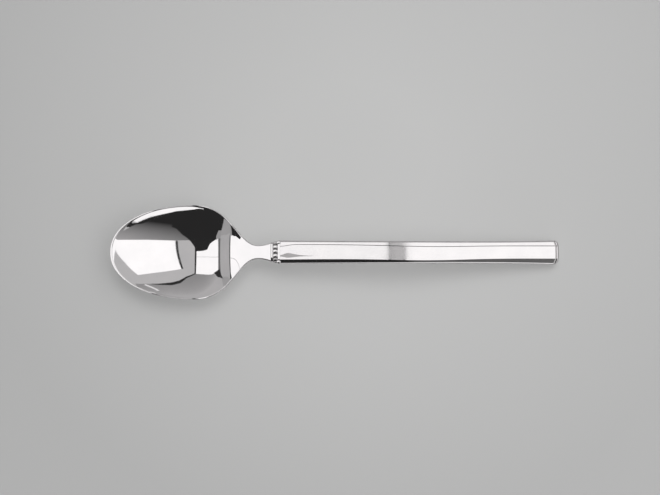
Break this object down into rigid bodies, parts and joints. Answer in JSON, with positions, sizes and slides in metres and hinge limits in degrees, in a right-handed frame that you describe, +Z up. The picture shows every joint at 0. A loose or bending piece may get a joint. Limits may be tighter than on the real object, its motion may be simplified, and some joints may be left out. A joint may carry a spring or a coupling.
{
  "type": "coffee spoon",
  "caption": "Coffee spoon in polished steel: an egg-shaped bowl, a slim neck, a pearled collar and an arched hollow bar handle with a flat top and bevels.",
  "frame": {"origin": "centre of the spoon's box at table level, with the spoon lying on its bowl and the end of its handle", "axes": "+X from the bowl's tip to the end of the handle, +Z up, out of the bowl's hollow"},
  "size_m": [0.135, 0.0282, 0.0122],
  "materials": {
    "polished_steel": "polished",
    "cement": "matte"
  },
  "bodies": {
    "root": {"bowl_with_tang": "polished_steel", "collar": "polished_steel", "handle_top_shell": "polished_steel", "handle_bottom_shell": "polished_steel", "handle_core": "cement", "end_cap": "polished_steel"}
  },
  "joints": []
}
